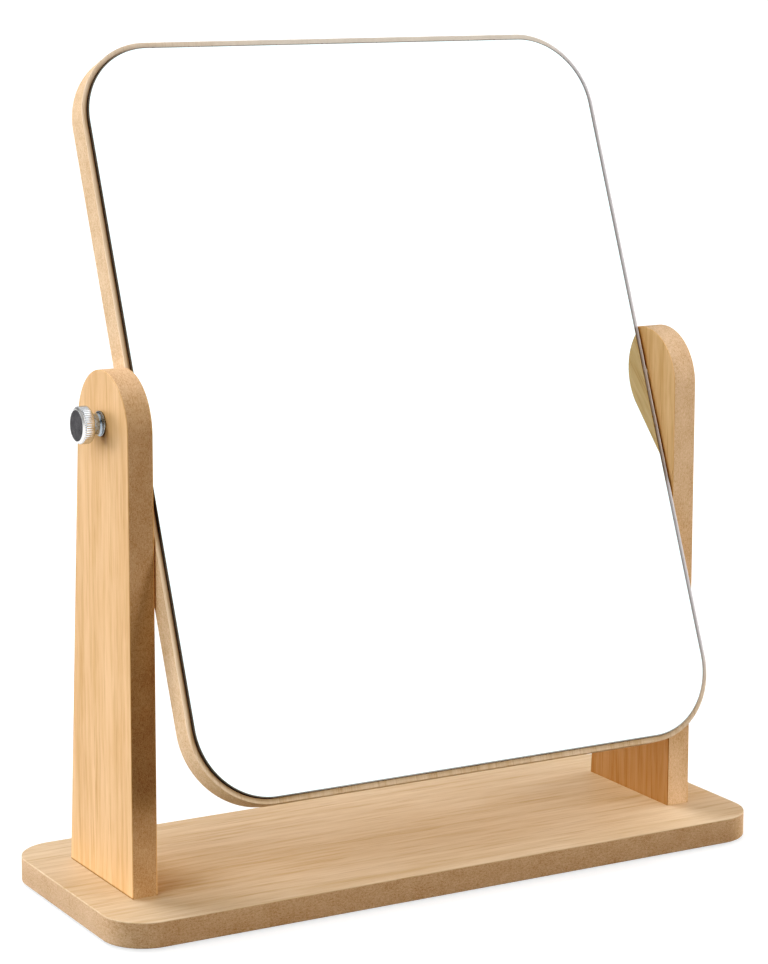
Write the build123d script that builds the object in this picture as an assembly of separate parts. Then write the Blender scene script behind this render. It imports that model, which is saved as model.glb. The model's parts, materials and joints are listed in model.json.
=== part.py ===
"""A tilting vanity mirror on two posts, every piece a separate solid.

Frame: millimetres, +Z up, -Y is the front. The origin is on the table, under the middle of the base board.
"""

import os
from math import acos, atan2, cos, hypot, pi, sin

from build123d import *

# Boards of one core thickness, with a thin veneer
core_thickness = 10.0
veneer_thickness = 0.4

# Base, veneered on top only, with felt on its underside
base_overhang = 17.65
base_depth = 111.5
base_corner_radius = 18.0
felt_thickness = 1.2
felt_inset = 5.0

# Posts, plumb at the front and sloping at the back
post_front_setback = 28.5
post_foot_depth = 58.8
post_height = 205.6
post_top_radius = 22.9
pivot_height_over_base = 184.6
pivot_setback = 23.8

# Mirror panel, hung a little above its middle
mirror_width = 241.5
mirror_height = 307.5
mirror_corner_radius = 32.5
mirror_tilt = 21.5
pivot_over_middle = 1.2
rim_width = 2.1
glass_gap = 0.2
glass_thickness = 2.0
glass_proud = 1.0
glass_seam_width = 0.5
glass_seam_depth = 0.25
tape_thickness = 0.5
tape_width = 20.0
tape_end_margin = 18.0
tape_pitch = 110.0
tape_count = 3

# Pivot hardware
washer_thickness = 0.8
washer_radius = 5.0
screw_radius = 2.0
running_clearance = 0.1
insert_radius = 2.8
insert_length = 10.0
insert_seat_clearance = 0.05
thread_engagement = 9.0
screw_tip_relief = 1.5
collar_length = 4.6
collar_flange_radius = 5.0
collar_flange_thickness = 1.0
collar_flare_length = 1.4
collar_waist_radius = 4.1
neck_radius = 3.1
neck_length = 0.9
head_radius = 7.4
head_thickness = 5.0
head_front_chamfer = 0.7
knurl_teeth = 48
knurl_depth = 0.35
knurl_cap_step = 0.05

# Wood screws through the base into the posts
wood_screw_length = 34.0
wood_screw_radius = 2.0
wood_screw_head_radius = 4.0
wood_screw_spacing = 30.0
wood_screw_seat_clearance = 0.05

# Sizes worked out from the values above
board_thickness = core_thickness + 2 * veneer_thickness
base_bottom = felt_thickness
base_top = base_bottom + core_thickness + veneer_thickness
post_inner_x = mirror_width / 2 + washer_thickness
post_outer_x = post_inner_x + board_thickness
post_middle_x = (post_inner_x + post_outer_x) / 2
base_length = 2 * (post_outer_x + base_overhang)
post_front_y = -base_depth / 2 + post_front_setback
post_back_y = post_front_y + post_foot_depth
post_middle_y = (post_front_y + post_back_y) / 2
post_round_y = post_front_y + post_top_radius
post_round_z = base_top + post_height - post_top_radius
pivot_y = post_front_y + pivot_setback
pivot_z = base_top + pivot_height_over_base
pivot_hole_radius = screw_radius + running_clearance
recess_depth = tape_thickness + glass_thickness - glass_proud
panel_back = -board_thickness / 2
panel_front = panel_back + board_thickness
recess_floor = panel_front - recess_depth
core_back = panel_back + veneer_thickness
core_front = panel_front - veneer_thickness
glass_inset = rim_width + glass_gap

LEFT = -1
RIGHT = 1
SIDES = {"left": LEFT, "right": RIGHT}

panel_plane = Plane(
    origin=(0, pivot_y, pivot_z),
    x_dir=(1, 0, 0),
    z_dir=(0, -cos(mirror_tilt * pi / 180), sin(mirror_tilt * pi / 180)),
)


def rounded_plate(outline, bottom, thickness, inset=0):
    """A flat plate with a (length, depth, corner radius) outline drawn in by an inset, from a height up."""
    length, depth, radius = outline
    sketch = RectangleRounded(length - 2 * inset, depth - 2 * inset, radius - inset)
    return Pos(0, 0, bottom) * extrude(sketch, thickness)


def outward(side):
    """The frame of the pivot hardware: Z runs outwards along the pivot axis from the middle of the mirror."""
    return Plane(origin=(0, pivot_y, pivot_z), x_dir=(0, 0, 1), z_dir=(side, 0, 0)).location


def turned(points):
    """A solid of revolution about Z from (radius, height) points."""
    outline = Polyline(*[(r, 0, z) for r, z in points], close=True)
    return revolve(make_face(outline), Axis.Z)


def bored(solid, radius, low, high):
    """Cut a round hole along Z from one height to another."""
    return solid - Pos(0, 0, low) * extrude(Circle(radius), high - low)


def base_pieces():
    """The base board, the veneer on it and the felt sheet below it."""
    outline = (base_length, base_depth, base_corner_radius)
    board = rounded_plate(outline, base_bottom, core_thickness)
    veneer = rounded_plate(outline, base_top - veneer_thickness, veneer_thickness)
    return {
        "base_board": board - wood_screw_holes(),
        "base_top_veneer": veneer - wood_screw_holes(),
        "base_felt": rounded_plate(outline, 0, felt_thickness, felt_inset),
    }


def wood_screw_places():
    """Where the wood screws stand, two under each post."""
    half = wood_screw_spacing / 2
    return [
        (side * post_middle_x, post_middle_y + step)
        for side in SIDES.values()
        for step in (-half, half)
    ]


def countersunk(grow):
    """A countersunk screw pointing up from the base's underside, grown all round for its hole."""
    head = wood_screw_head_radius + grow
    shank = wood_screw_radius + grow
    shoulder = base_bottom + wood_screw_head_radius - wood_screw_radius
    end = base_bottom + wood_screw_length + grow
    return turned([(0, base_bottom), (head, base_bottom), (shank, shoulder), (shank, end), (0, end)])


def wood_screw_holes():
    """The countersunk pilot holes for the wood screws."""
    hole = countersunk(wood_screw_seat_clearance)
    return [Pos(x, y, 0) * hole for x, y in wood_screw_places()]


def wood_screws():
    """All wood screws, one solid each, with their heads flush in the base's underside."""
    return Compound(children=[Pos(x, y, 0) * countersunk(0) for x, y in wood_screw_places()])


def post_outline():
    """The side view of a post: plumb front, round top and a back that slopes to the foot."""
    run = post_back_y - post_round_y
    drop = base_top - post_round_z
    angle = atan2(drop, run) + acos(post_top_radius / hypot(run, drop))
    back_tangent = (post_round_y + post_top_radius * cos(angle), post_round_z + post_top_radius * sin(angle))
    with BuildSketch(Plane.YZ) as sketch:
        with BuildLine():
            front = Line((post_front_y, base_top), (post_front_y, post_round_z))
            arc = ThreePointArc(front @ 1, (post_round_y, base_top + post_height), back_tangent)
            back = Line(arc @ 1, (post_back_y, base_top))
            Line(back @ 1, front @ 0)
        make_face()
    return sketch.sketch


def post_pieces(name, side):
    """One post as a core with a veneer sheet on each face, drilled for the thumbscrew."""
    outline = post_outline()
    hole = outward(side) * Pos(0, 0, post_inner_x) * extrude(Circle(pivot_hole_radius), board_thickness)

    def layer(from_x, thickness):
        start = from_x if side == RIGHT else -from_x - thickness
        return Pos(start, 0, 0) * extrude(outline, thickness, dir=(1, 0, 0))

    core = layer(post_inner_x + veneer_thickness, core_thickness)
    inner = layer(post_inner_x, veneer_thickness)
    outer = layer(post_outer_x - veneer_thickness, veneer_thickness)
    return {
        f"{name}_post": core - hole - wood_screw_holes(),
        f"{name}_post_inner_veneer": inner - hole,
        f"{name}_post_outer_veneer": outer - hole,
    }


def mirror_pieces():
    """The mirror board with its veneers, tape strips and glass, tilted back about the pivot axis."""
    outline = (mirror_width, mirror_height, mirror_corner_radius)
    recess = rounded_plate(outline, recess_floor, recess_depth, rim_width)
    core = rounded_plate(outline, core_back, core_thickness) - recess
    seat_depth = insert_length + screw_tip_relief
    for side in SIDES.values():
        seat = extrude(Circle(insert_radius + insert_seat_clearance), seat_depth)
        edge = (side * mirror_width / 2, pivot_over_middle, 0)
        mouth = Plane(origin=edge, x_dir=(0, 1, 0), z_dir=(-side, 0, 0))
        core -= mouth.location * seat
    glass = rounded_plate(outline, recess_floor + tape_thickness, glass_thickness, glass_inset)
    face = glass.faces().sort_by(Axis.Z)[-1]
    glass = chamfer(face.outer_wire().edges(), glass_seam_width, glass_seam_depth, reference=face)
    strip_length = mirror_width - 2 * (glass_inset + tape_end_margin)
    strip = extrude(Rectangle(strip_length, tape_width), tape_thickness)
    first = -tape_pitch * (tape_count - 1) / 2
    strips = [Pos(0, first + tape_pitch * index, recess_floor) * strip for index in range(tape_count)]
    pieces = {
        "mirror_board": core,
        "mirror_rim_veneer": rounded_plate(outline, core_front, veneer_thickness) - recess,
        "mirror_back_veneer": rounded_plate(outline, panel_back, veneer_thickness),
        "mirror_glass": glass,
        "mounting_tape": Compound(children=strips),
    }
    hung = panel_plane.location * Pos(0, -pivot_over_middle, 0)
    return {name: hung * piece for name, piece in pieces.items()}


def collar():
    """The flared collar: a flange on the post, drawn in to a waist under the screw's head."""
    bore = pivot_hole_radius
    end = post_outer_x + collar_length
    flange_top = post_outer_x + collar_flange_thickness
    return turned([
        (bore, post_outer_x),
        (collar_flange_radius, post_outer_x),
        (collar_flange_radius, flange_top),
        (collar_waist_radius, flange_top + collar_flare_length),
        (collar_waist_radius, end),
        (bore, end),
    ])


def knurled_head(bottom):
    """The screw's head: a straight knurl with a chamfered cap on its outer end."""
    root = head_radius - knurl_depth
    cap_radius = root - knurl_cap_step
    knurl_length = head_thickness - head_front_chamfer
    step = 360 / knurl_teeth
    points = []
    for tooth in range(knurl_teeth):
        points.append(Vector(head_radius, 0).rotate(Axis.Z, tooth * step))
        points.append(Vector(root, 0).rotate(Axis.Z, (tooth + 0.5) * step))
    flutes = extrude(make_face(Polyline(*points, close=True)), knurl_length)
    cap = turned([
        (0, knurl_length),
        (cap_radius, knurl_length),
        (cap_radius - head_front_chamfer, head_thickness),
        (0, head_thickness),
    ])
    return Pos(0, 0, bottom) * (flutes + cap)


def thumbscrew():
    """The thumbscrew: plain shank for the thread, neck and knurled head."""
    tip = mirror_width / 2 - thread_engagement
    collar_end = post_outer_x + collar_length
    head_bottom = collar_end + neck_length
    shank = turned([
        (0, tip),
        (screw_radius, tip),
        (screw_radius, collar_end),
        (neck_radius, collar_end),
        (neck_radius, head_bottom),
        (0, head_bottom),
    ])
    return shank + knurled_head(head_bottom)


def pivot_pieces(name, side):
    """The hardware on one side of the pivot: insert, friction washer, collar and thumbscrew."""
    edge = mirror_width / 2
    insert = Pos(0, 0, edge - insert_length) * extrude(Circle(insert_radius), insert_length)
    washer = Pos(0, 0, edge) * extrude(Circle(washer_radius), washer_thickness)
    pieces = {
        f"{name}_insert": bored(insert, pivot_hole_radius, edge - insert_length, edge),
        f"{name}_friction_washer": bored(washer, pivot_hole_radius, edge, edge + washer_thickness),
        f"{name}_collar": collar(),
        f"{name}_thumbscrew": thumbscrew(),
    }
    return {node: outward(side) * piece for node, piece in pieces.items()}


def build():
    """All pieces by node name."""
    pieces = base_pieces()
    pieces["post_screws"] = wood_screws()
    pieces.update(mirror_pieces())
    for name, side in SIDES.items():
        pieces.update(post_pieces(name, side))
        pieces.update(pivot_pieces(name, side))
    return pieces


os.makedirs("parts", exist_ok=True)
for node, piece in build().items():
    export_step(piece, f"parts/{node}.step")
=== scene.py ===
"""The looks of a tilting vanity mirror: veneered boards, silvered glass and knurled clamps."""

import json
import logging
import math
from dataclasses import dataclass
from enum import Enum
from typing import Protocol

import bmesh
import bpy
from mathutils import Matrix, Vector


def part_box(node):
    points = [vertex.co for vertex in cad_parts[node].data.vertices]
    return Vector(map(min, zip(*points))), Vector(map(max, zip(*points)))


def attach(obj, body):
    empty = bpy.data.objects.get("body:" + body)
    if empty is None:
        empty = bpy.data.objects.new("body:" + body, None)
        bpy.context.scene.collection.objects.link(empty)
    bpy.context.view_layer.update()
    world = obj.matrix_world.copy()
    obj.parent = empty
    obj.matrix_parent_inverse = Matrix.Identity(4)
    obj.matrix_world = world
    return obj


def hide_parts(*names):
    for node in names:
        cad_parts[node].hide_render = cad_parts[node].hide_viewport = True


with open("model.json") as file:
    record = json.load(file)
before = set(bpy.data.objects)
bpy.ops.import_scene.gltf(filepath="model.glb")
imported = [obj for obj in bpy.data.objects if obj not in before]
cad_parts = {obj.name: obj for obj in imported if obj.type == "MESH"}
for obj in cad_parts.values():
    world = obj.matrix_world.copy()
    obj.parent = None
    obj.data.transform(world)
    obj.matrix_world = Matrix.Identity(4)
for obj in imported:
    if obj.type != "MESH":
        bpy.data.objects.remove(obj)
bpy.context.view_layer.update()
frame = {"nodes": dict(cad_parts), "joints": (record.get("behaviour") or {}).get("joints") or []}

Triple = tuple[float, float, float]
Colour = Triple
Point = tuple[float, float]
Span = tuple[float, float]
NodeInputs = dict[str | int, object]
Socket = bpy.types.NodeSocket
Tree = bpy.types.NodeTree
Material = bpy.types.Material
Piece = bpy.types.Object

MM = 0.001
QUARTER = math.pi / 2
WHITE = (1.0, 1.0, 1.0)
PANEL_TILT = math.radians(21.5)
# Edges that bend by more than this are drawn sharp.
SHARP_ANGLE = math.radians(32)
# The least cosine between a face's normal and the way that it is said to look.
FACING = 0.999
# The span that most values of a noise lie in.
MIDDLING: Span = (0.3, 0.7)
# The attribute that holds how far in from a plate's outline a point lies.
INSET = "inset"
log = logging.getLogger("vanity_mirror")


class Slot(Enum):
    """The record's material slots, passed along with the dressed pieces but not assigned to them."""

    FIBREBOARD = "fibreboard"
    VENEER = "veneer"
    FELT = "felt"
    SCREW_STEEL = "screw_steel"
    MIRROR_GLASS = "mirror_glass"
    NYLON = "nylon"
    NICKEL = "nickel"


class Side(Enum):
    """The two ends of the pivot axis, as a sign along X."""

    LEFT = -1
    RIGHT = 1

    @property
    def label(self) -> str:
        """The side's name as the nodes and bodies use it."""
        return self.name.lower()


class Lay(Enum):
    """How a board lies, as the turn that brings its grain to X."""

    FLAT = (0.0, 0.0, 0.0)
    UPRIGHT = (0.0, QUARTER, 0.0)
    LEANING = (PANEL_TILT, QUARTER, 0.0)
    LEANING_EDGE = (PANEL_TILT + QUARTER, 0.0, 0.0)


class NodeGraph:
    """Adds nodes to one node tree and links them."""

    def __init__(self, tree: Tree) -> None:
        """Keep the tree that the nodes go into."""
        self.tree = tree

    def add(self, kind: str, inputs: NodeInputs | None = None, **settings: object) -> bpy.types.Node:
        """Add one node.

        Args:
            kind: The node's type name.
            inputs: For each input by name or number, a value or the output socket to link from.
            settings: The node's own properties.

        Returns:
            The new node.
        """
        node = self.tree.nodes.new(kind)
        for name, value in settings.items():
            setattr(node, name, value)
        for key, value in (inputs or {}).items():
            if isinstance(value, Socket):
                self.tree.links.new(value, node.inputs[key])
            else:
                node.inputs[key].default_value = value
        return node

    def math(self, operation: str, first: object, second: object) -> Socket:
        """Work out one sum."""
        return self.add("ShaderNodeMath", {0: first, 1: second}, operation=operation).outputs[0]

    def ranged(self, value: Socket, span: Span, low: float, high: float) -> Socket:
        """Stretch a value from a span to a range, and hold it there."""
        inputs = {"Value": value, "From Min": span[0], "From Max": span[1], "To Min": low, "To Max": high}
        return self.add("ShaderNodeMapRange", inputs).outputs[0]


class ShaderGraph(NodeGraph):
    """The node tree of one material, built round its Principled shader."""

    def __init__(self, name: str) -> None:
        """Make the material and its texture coordinates.

        Args:
            name: The material's name.
        """
        self.material = bpy.data.materials.new(name)
        self.material.use_nodes = True
        super().__init__(self.material.node_tree)
        self.shader = self.tree.nodes["Principled BSDF"]
        self.place = self.add("ShaderNodeTexCoord").outputs["Object"]

    def turned(self, rotation: Triple) -> Socket:
        """Object coordinates turned by Euler angles."""
        return self.add("ShaderNodeMapping", {"Vector": self.place, "Rotation": rotation}).outputs[0]

    def axes(self) -> bpy.types.Node:
        """Object coordinates taken apart, with an output for each axis."""
        return self.add("ShaderNodeSeparateXYZ", {0: self.place})

    def noise(self, place: Socket, density: Triple, detail: float = 2.0, distortion: float = 0.0) -> Socket:
        """A noise pattern.

        Args:
            place: The coordinates that it reads.
            density: Features per metre along each axis.
            detail: Octaves of finer noise.
            distortion: How far the pattern is bent.

        Returns:
            The noise value, about 0.5 on average.
        """
        spread = self.add("ShaderNodeVectorMath", {0: place, 1: density}, operation="MULTIPLY").outputs[0]
        inputs = {"Vector": spread, "Scale": 1.0, "Detail": detail, "Distortion": distortion}
        return self.add("ShaderNodeTexNoise", inputs).outputs["Fac"]

    def blend(self, share: float, first: object, second: object) -> Socket:
        """Mix two values, with a share of the second."""
        inputs = {"Factor": share, "A": first, "B": second}
        return self.add("ShaderNodeMix", inputs, data_type="FLOAT").outputs[0]

    def ramp(self, value: Socket, stops: list[tuple[float, Colour]]) -> Socket:
        """Colours along a value.

        Args:
            value: The value that picks the colour.
            stops: Pairs of place and colour, in order.

        Returns:
            The colour's socket.
        """
        node = self.add("ShaderNodeValToRGB", {"Fac": value})
        elements = node.color_ramp.elements
        while len(elements) < len(stops):
            elements.new(0.5)
        for element, (place, colour) in zip(elements, stops):
            element.position = place
            element.color = (*colour, 1.0)
        return node.outputs["Color"]

    def tinted(self, factor: Socket, under: Socket, colour: Colour, mode: str = "MIX") -> Socket:
        """Lay a colour over another where the factor says."""
        # A Mix node's colours are its inputs 6 and 7 and its output 2.
        inputs = {0: factor, 6: under, 7: (*colour, 1.0)}
        return self.add("ShaderNodeMix", inputs, data_type="RGBA", blend_type=mode).outputs[2]

    def relief(self, height: Socket, strength: float, depth: float) -> None:
        """Raise a fine relief on the surface.

        Args:
            height: The relief's height from 0 to 1.
            strength: How much of it shows.
            depth: Its real depth in metres.
        """
        inputs = {"Height": height, "Strength": strength, "Distance": depth}
        bump = self.add("ShaderNodeBump", inputs)
        self.tree.links.new(bump.outputs["Normal"], self.shader.inputs["Normal"])

    def wire(self, **sockets: object) -> None:
        """Set or link the shader's inputs.

        Args:
            sockets: A value or a socket for each input, named with underscores for spaces.
        """
        for name, value in sockets.items():
            target = self.shader.inputs[name.replace("_", " ")]
            if isinstance(value, Socket):
                self.tree.links.new(value, target)
            else:
                target.default_value = value


def shaded(colour: Colour, gain: Colour) -> Colour:
    """A colour with each channel raised or lowered by a gain."""
    return tuple(value * share for value, share in zip(colour, gain))


class Finish(Protocol):
    """Anything that can make its own material."""

    def build(self) -> Material:
        """Make the material."""


@dataclass(frozen=True)
class VeneerFinish:
    """Light straight-grained wood veneer under a satin clear coat."""

    name: str
    lay: Lay
    tone: Colour
    light: Colour = (1.09, 1.12, 1.17)
    dark: Colour = (0.86, 0.80, 0.72)
    pore: Colour = (0.66, 0.55, 0.44)
    contrast: Triple = (0.36, 0.5, 0.62)
    band_density: Triple = (4.0, 90.0, 90.0)
    streak_density: Triple = (26.0, 460.0, 460.0)
    fibre_density: Triple = (110.0, 2600.0, 2600.0)
    dash_density: Triple = (48.0, 1500.0, 1500.0)
    fibre_share: float = 0.22
    pore_span: Span = (0.60, 0.72)
    pore_strength: float = 0.45
    satin: Span = (0.58, 0.44)
    grain_depth: float = 0.06 * MM

    def build(self) -> Material:
        """Make the veneer's material, with bands, streaks, fibres and pores along the grain.

        Returns:
            The new material.
        """
        graph = ShaderGraph(self.name)
        place = graph.turned(self.lay.value)
        bands = graph.noise(place, self.band_density, detail=2.0, distortion=0.3)
        streaks = graph.noise(place, self.streak_density, detail=3.0)
        fibres = graph.noise(place, self.fibre_density, detail=2.0)
        figure = graph.blend(self.fibre_share, graph.blend(0.5, bands, streaks), fibres)
        tones = (shaded(self.tone, self.dark), self.tone, shaded(self.tone, self.light))
        colour = graph.ramp(figure, list(zip(self.contrast, tones)))
        dashes = graph.noise(place, self.dash_density, detail=1.0)
        pores = graph.ranged(dashes, self.pore_span, 0.0, self.pore_strength)
        colour = graph.tinted(pores, colour, self.pore, mode="MULTIPLY")
        graph.wire(
            Base_Color=self.stained(graph, colour),
            Roughness=graph.ranged(streaks, MIDDLING, *self.satin),
            Specular_IOR_Level=0.22,
            Coat_Weight=0.03,
            Coat_Roughness=0.3,
        )
        graph.relief(graph.blend(0.5, fibres, dashes), strength=0.25, depth=self.grain_depth)
        return graph.material

    def stained(self, graph: ShaderGraph, colour: Socket) -> Socket:
        """The veneer's colour; plain veneer has no painted light or shade."""
        return colour


@dataclass(frozen=True)
class DeepeningVeneerFinish(VeneerFinish):
    """Veneer with painted shade that darkens it towards its lower end."""

    # The span and the deep colour set where the painted shade lies and how dark it is.
    span: Span = (0.05, 0.13)
    deep: Colour = (0.56, 0.50, 0.48)

    def stained(self, graph: ShaderGraph, colour: Socket) -> Socket:
        """The veneer's colour, with painted shade at the lower end."""
        height = graph.axes().outputs["Z"]
        return graph.tinted(graph.ranged(height, self.span, 1.0, 0.0), colour, self.deep, mode="MULTIPLY")


@dataclass(frozen=True)
class RimFinish(VeneerFinish):
    """Veneer round a pane of glass, with painted light and shade: a painted shadow of the glass that
    darkens it towards the glass, most on the left, a painted highlight that pales its top and right, and a
    pale grey painted reflection with painted shade beside the glass on the right.
    """

    # The fields below paint light and shade on the rim: a shadow of the glass, a highlight at the top and
    # right, and a pale grey reflection with shade on the right side.
    clean: float = 0.5 * MM
    width: float = 2.1 * MM
    stain: Colour = (0.36, 0.31, 0.27)
    stain_fade: Span = (-0.112, -0.06)
    stain_left: float = 0.2
    middle: float = 0.196
    worn: Colour = (0.68, 0.65, 0.60)
    worn_span: Span = (-0.03, 0.09)
    worn_climb: float = 0.8
    worn_share: float = 0.75
    grey: Colour = (0.70, 0.70, 0.73)
    grey_span: Span = (0.102, 0.117)
    grey_rise: Span = (-0.124, -0.108)
    grey_share: float = 0.9
    shade: Colour = (0.28, 0.27, 0.29)

    def stained(self, graph: ShaderGraph, colour: Socket) -> Socket:
        """The veneer's colour with the painted shadow of the glass, the painted highlight at its top and
        right and the painted grey reflection on its right side.

        Args:
            graph: The material's nodes.
            colour: The plain veneer's colour.

        Returns:
            The colour's socket.
        """
        inset = graph.add("ShaderNodeAttribute", attribute_name=INSET).outputs["Fac"]
        axes = graph.axes().outputs
        # Painted shadow of the proud glass: the rim darkens towards the glass, most on the left.
        depth = graph.ranged(inset, (self.clean, self.width), 0.0, 1.0)
        left = graph.ranged(axes["X"], self.stain_fade, 1.0, self.stain_left)
        colour = graph.tinted(graph.math("MULTIPLY", depth, left), colour, self.stain, mode="MULTIPLY")
        # Painted highlight: the rim pales towards its top and its right.
        rise = graph.math("SUBTRACT", axes["Z"], self.middle)
        upper_right = graph.math("ADD", axes["X"], graph.math("MULTIPLY", rise, self.worn_climb))
        highlight = graph.ranged(upper_right, self.worn_span, 0.0, self.worn_share)
        colour = graph.tinted(highlight, colour, self.worn)
        # Painted pale grey reflection on the right side, with painted shade beside the glass there.
        right = graph.ranged(axes["X"], self.grey_span, 0.0, self.grey_share)
        right = graph.math("MULTIPLY", right, graph.ranged(rise, self.grey_rise, 0.0, 1.0))
        colour = graph.tinted(right, colour, self.grey)
        return graph.tinted(graph.math("MULTIPLY", depth, right), colour, self.shade, mode="MULTIPLY")


@dataclass(frozen=True)
class FibreboardFinish:
    """The sanded, unveneered edge of a fibreboard."""

    name: str
    lay: Lay
    tone: Colour
    light: Colour = (1.16, 1.20, 1.26)
    dark: Colour = (0.78, 0.72, 0.64)
    contrast: Triple = (0.36, 0.5, 0.64)
    cloud_density: Triple = (90.0, 90.0, 150.0)
    fleck_density: Triple = (700.0, 700.0, 1500.0)
    speck_density: Triple = (2200.0, 2200.0, 3000.0)
    fleck_share: float = 0.65
    dullness: Span = (0.9, 0.72)
    fibre_depth: float = 0.12 * MM

    def build(self) -> Material:
        """Make the edge's material, with felted fibres that lie in the board's plane.

        Returns:
            The new material.
        """
        graph = ShaderGraph(self.name)
        place = graph.turned(self.lay.value)
        clouds = graph.noise(place, self.cloud_density, detail=1.0)
        flecks = graph.noise(place, self.fleck_density, detail=3.0)
        specks = graph.noise(place, self.speck_density, detail=2.0)
        figure = graph.blend(0.5, graph.blend(self.fleck_share, clouds, flecks), specks)
        tones = (shaded(self.tone, self.dark), self.tone, shaded(self.tone, self.light))
        colour = graph.ramp(figure, list(zip(self.contrast, tones)))
        graph.wire(Base_Color=colour, Roughness=graph.ranged(flecks, MIDDLING, *self.dullness))
        graph.wire(Specular_IOR_Level=0.3)
        graph.relief(graph.blend(0.5, flecks, specks), strength=0.35, depth=self.fibre_depth)
        return graph.material


@dataclass(frozen=True)
class FeltFinish:
    """Pressed felt, matted and slightly mottled."""

    name: str
    light: Colour = (0.055, 0.036, 0.024)
    dark: Colour = (0.022, 0.014, 0.009)
    contrast: Span = (0.38, 0.64)
    mottle_density: Triple = (260.0, 260.0, 260.0)
    fuzz_density: Triple = (2400.0, 2400.0, 2400.0)
    fuzz_share: float = 0.6
    fuzz_depth: float = 0.25 * MM

    def build(self) -> Material:
        """Make the felt's material.

        Returns:
            The new material.
        """
        graph = ShaderGraph(self.name)
        mottle = graph.noise(graph.place, self.mottle_density, detail=3.0)
        fuzz = graph.noise(graph.place, self.fuzz_density, detail=2.0, distortion=1.2)
        figure = graph.blend(self.fuzz_share, mottle, fuzz)
        colour = graph.ramp(figure, list(zip(self.contrast, (self.dark, self.light))))
        graph.wire(Base_Color=colour, Roughness=0.95, Sheen_Weight=0.5, Sheen_Roughness=0.6)
        graph.relief(fuzz, strength=0.8, depth=self.fuzz_depth)
        return graph.material


@dataclass(frozen=True)
class MetalFinish:
    """A metal with faint tool marks and a varying polish."""

    name: str
    light: Colour
    dark: Colour
    polish: Span
    contrast: Span = (0.35, 0.65)
    haze_density: Triple = (420.0, 420.0, 420.0)
    mark_density: Triple = (900.0, 900.0, 900.0)
    mark_share: float = 0.4
    mark_depth: float = 0.02 * MM

    def build(self) -> Material:
        """Make the metal's material.

        Returns:
            The new material.
        """
        graph = ShaderGraph(self.name)
        haze = graph.noise(graph.place, self.haze_density, detail=2.0)
        marks = graph.noise(graph.place, self.mark_density, detail=2.0)
        figure = graph.blend(self.mark_share, haze, marks)
        colour = graph.ramp(figure, list(zip(self.contrast, (self.dark, self.light))))
        graph.wire(Base_Color=colour, Metallic=1.0)
        graph.wire(Roughness=graph.ranged(marks, MIDDLING, *self.polish))
        graph.relief(marks, strength=0.15, depth=self.mark_depth)
        return graph.material


@dataclass(frozen=True)
class SilveredFinish:
    """The silvered face of a mirror glass, clean but for the faintest haze."""

    name: str
    tint: Colour = (0.77, 0.86, 0.87)
    haze_density: Triple = (14.0, 14.0, 14.0)
    haze_span: Span = (0.55, 0.8)
    haze: Span = (0.0, 0.02)

    def build(self) -> Material:
        """Make the mirror's material.

        Returns:
            The new material.
        """
        graph = ShaderGraph(self.name)
        haze = graph.noise(graph.place, self.haze_density, detail=3.0)
        graph.wire(Base_Color=(*self.tint, 1.0), Metallic=1.0)
        graph.wire(Roughness=graph.ranged(haze, self.haze_span, *self.haze))
        return graph.material


@dataclass(frozen=True)
class GroundFinish:
    """The ground edge of a silvered glass, with painted shade that makes it dark on the left; lighter and
    more metallic elsewhere.
    """

    name: str
    # The dark colour is painted shade on the edge's left side.
    dark: Colour = (0.14, 0.12, 0.10)
    clear: Colour = (0.36, 0.34, 0.31)
    contrast: Span = (0.05, 0.95)
    span: Span = (-0.115, -0.06)
    mottle_density: Triple = (700.0, 700.0, 700.0)
    mottle_share: float = 0.1
    polish: Span = (0.25, 0.4)

    def build(self) -> Material:
        """Make the edge's material.

        Returns:
            The new material.
        """
        graph = ShaderGraph(self.name)
        mottle = graph.noise(graph.place, self.mottle_density, detail=3.0)
        # Painted shade: dark and dull on the left, lighter and metallic towards the right.
        unshaded = graph.ranged(graph.axes().outputs["X"], self.span, 0.0, 1.0)
        figure = graph.blend(self.mottle_share, unshaded, mottle)
        colour = graph.ramp(figure, list(zip(self.contrast, (self.dark, self.clear))))
        graph.wire(Base_Color=colour, Metallic=unshaded)
        graph.wire(Roughness=graph.ranged(mottle, MIDDLING, *self.polish))
        return graph.material


@dataclass(frozen=True)
class PlainFinish:
    """A dull or waxy material with slight mottling, for nylon and foam."""

    name: str
    light: Colour
    dark: Colour
    roughness: float
    density: float = 700.0
    contrast: Span = (0.35, 0.65)
    depth: float = 0.03 * MM

    def build(self) -> Material:
        """Make the material.

        Returns:
            The new material.
        """
        graph = ShaderGraph(self.name)
        mottle = graph.noise(graph.place, (self.density,) * 3, detail=3.0)
        colour = graph.ramp(mottle, list(zip(self.contrast, (self.dark, self.light))))
        graph.wire(Base_Color=colour, Roughness=self.roughness)
        graph.relief(mottle, strength=0.2, depth=self.depth)
        return graph.material


class Outline(Protocol):
    """A closed outline that can be drawn in by an inset."""

    def ring(self, inset: float) -> list[Point]:
        """The outline's points, anticlockwise."""


def arc(centre: Point, radius: float, start: float, end: float, steps: int) -> list[Point]:
    """Points along a circular arc."""
    angles = [start + (end - start) * step / steps for step in range(steps + 1)]
    return [(centre[0] + radius * math.cos(a), centre[1] + radius * math.sin(a)) for a in angles]


@dataclass(frozen=True)
class RoundedRectangle:
    """A rectangle with rounded corners about the origin."""

    length: float
    depth: float
    radius: float
    steps: int = 20

    def ring(self, inset: float) -> list[Point]:
        """The outline's points.

        Args:
            inset: How far they are drawn in.

        Returns:
            The points, anticlockwise.
        """
        u = self.length / 2 - self.radius
        v = self.depth / 2 - self.radius
        points = []
        for quarter, corner in enumerate([(u, v), (-u, v), (-u, -v), (u, -v)]):
            start = quarter * QUARTER
            points += arc(corner, self.radius - inset, start, start + QUARTER, self.steps)
        return points


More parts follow.
